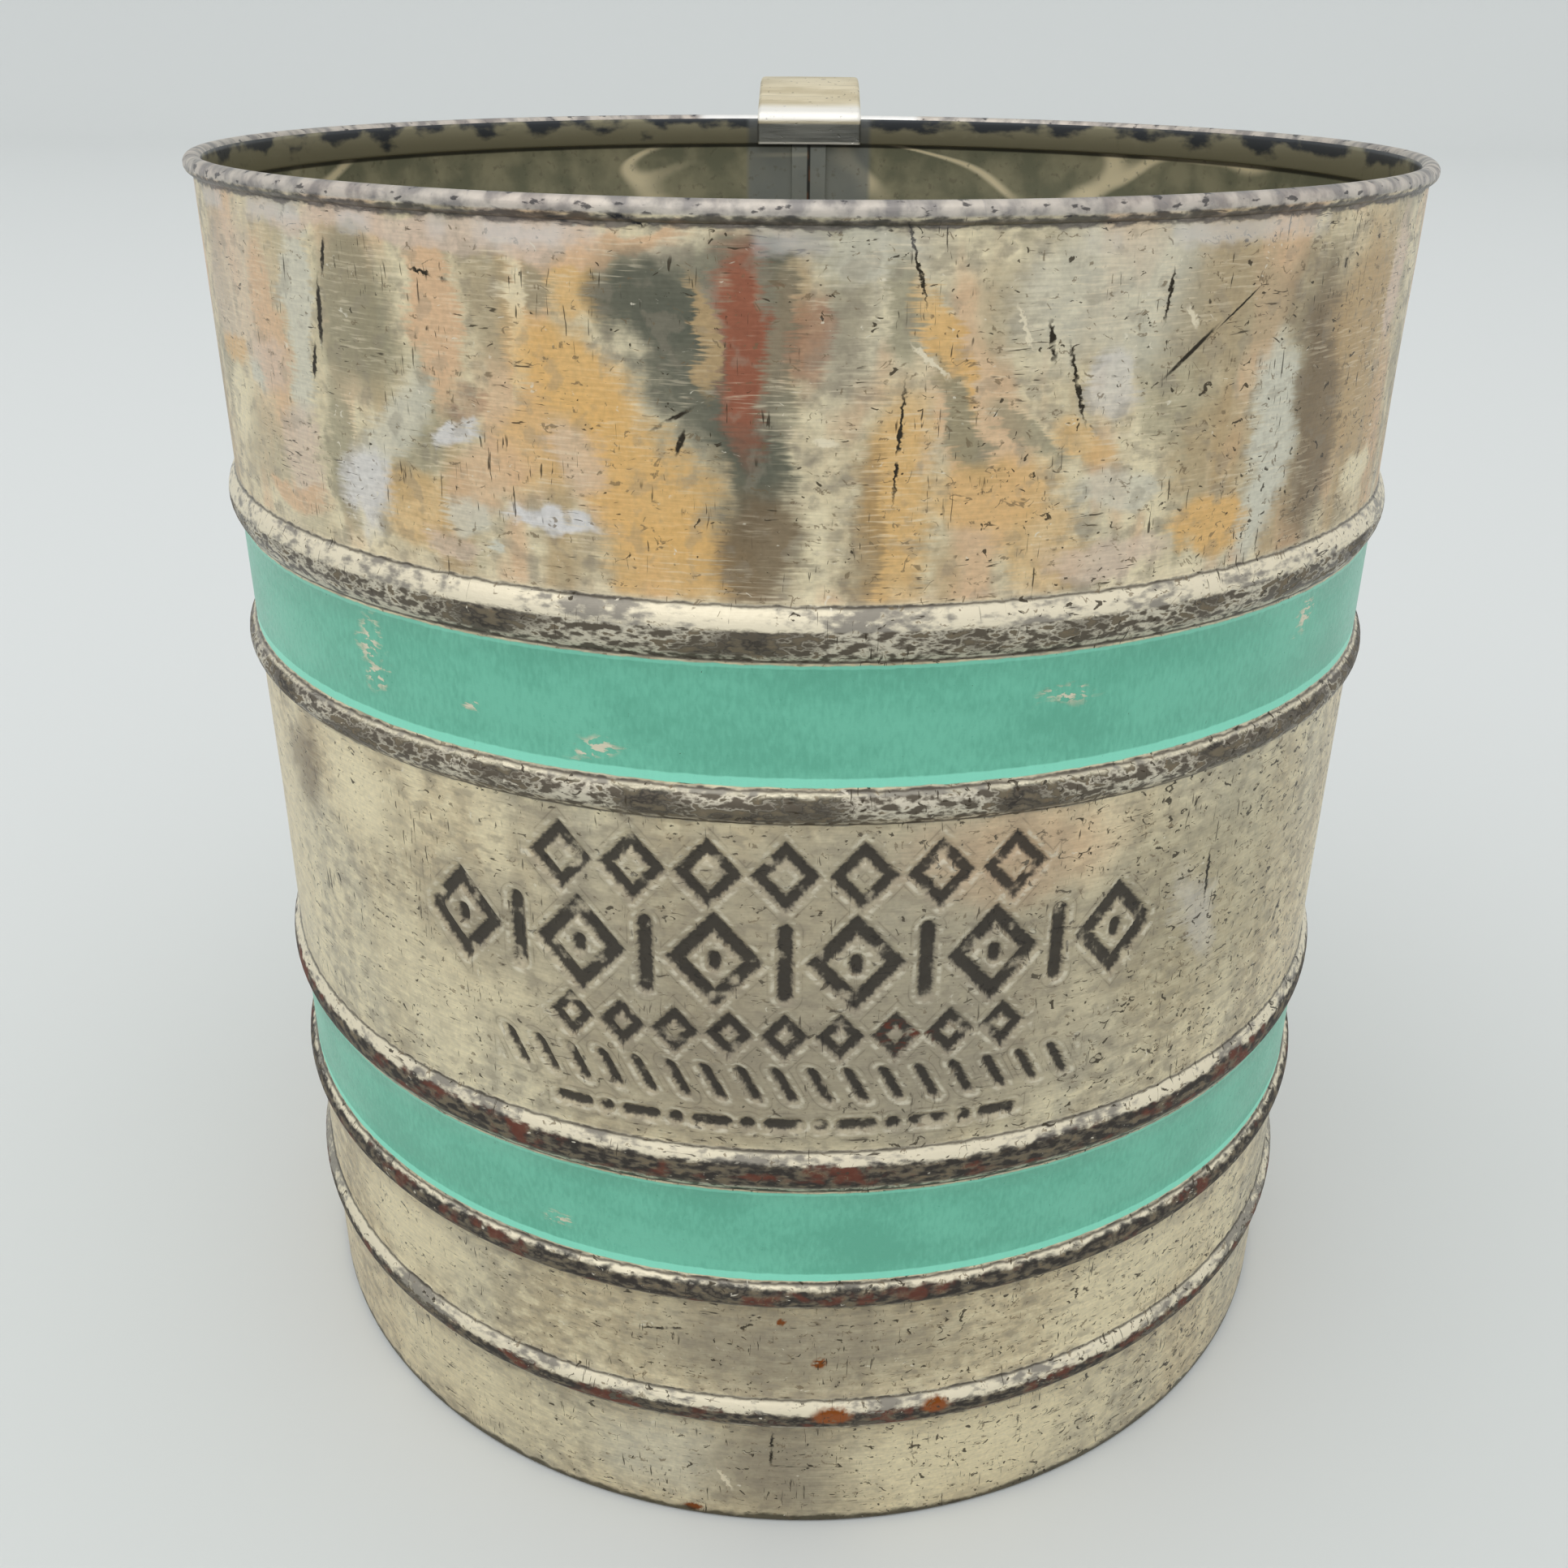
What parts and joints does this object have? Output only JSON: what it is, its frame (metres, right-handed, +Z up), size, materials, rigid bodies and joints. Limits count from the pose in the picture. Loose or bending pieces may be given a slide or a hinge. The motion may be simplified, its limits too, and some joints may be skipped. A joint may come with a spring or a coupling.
{
  "type": "flour sifter",
  "caption": "Round tinplate flour sifter with stacked screens, a turning agitator shaft and a strap handle whose squeeze lever drives it through a push rod.",
  "frame": {"origin": "on the surface the tin stands on, under the middle of the tin and its handle together; the tin's own axis is 24.9 mm in front of it", "axes": "+Z up along the tin, +Y towards the handle at the back, +X to the right seen from the front"},
  "size_m": [0.13, 0.1798, 0.142],
  "materials": {
    "tinplate": "aged tinplate with tarnish, grime in the beads and two mint green enamel bands",
    "bright_tin": "dull bright tinplate",
    "steel_wire": "drawn steel wire",
    "steel_fittings": "plain steel",
    "screen_wire": "woven tinned wire"
  },
  "bodies": {
    "frame": {"body_shell": "tinplate", "screen_ring_top": "bright_tin", "screen_ring_middle": "bright_tin", "screen_ring_bottom": "bright_tin", "screen_mesh_top": "screen_wire", "screen_mesh_middle": "screen_wire", "screen_mesh_bottom": "screen_wire", "eyelet_top": "bright_tin", "eyelet_middle": "bright_tin", "eyelet_bottom": "bright_tin", "bearing_bridge": "bright_tin", "handle_strap": "bright_tin", "foot_rivets": "steel_fittings", "pivot_bracket": "bright_tin", "pivot_pin": "steel_fittings", "spring_post": "steel_fittings", "return_spring": "steel_wire"},
    "agitator": {"agitator_shaft": "steel_fittings", "shaft_collar": "steel_fittings", "agitator_top": "bright_tin", "agitator_middle": "bright_tin", "agitator_bottom": "bright_tin", "crank_arm": "steel_fittings", "shaft_nut": "steel_fittings"},
    "lever": {"squeeze_lever": "bright_tin", "rod_pin": "steel_fittings"},
    "rod": {"push_rod": "steel_wire"}
  },
  "joints": [
    {"name": "lever_squeeze", "type": "hinge", "parent": "frame", "child": "lever", "pos_m": [0, 0.0676, 0.04], "axis": [-1, 0, 0], "range_deg": [0, 11.9], "stiffness_Nm_per_rad": 1.6, "springref_deg": -5.73, "deforming": ["return_spring"]},
    {"name": "rod_turn", "type": "hinge", "parent": "lever", "child": "rod", "pos_m": [0, 0.0631, 0.0976], "axis": [-1, 0, 0], "range_deg": [-12, 0]},
    {"name": "agitator_turn", "type": "hinge", "parent": "frame", "child": "agitator", "pos_m": [0, -0.0249, 0.0881], "axis": [0, 0, 1], "range_deg": [0, 48.2]}
  ],
  "couplings": [
    {"joint": "rod_turn", "follows": "lever_squeeze", "ratio": -1},
    {"joint": "agitator_turn", "follows": "lever_squeeze", "ratio": 4.043}
  ]
}
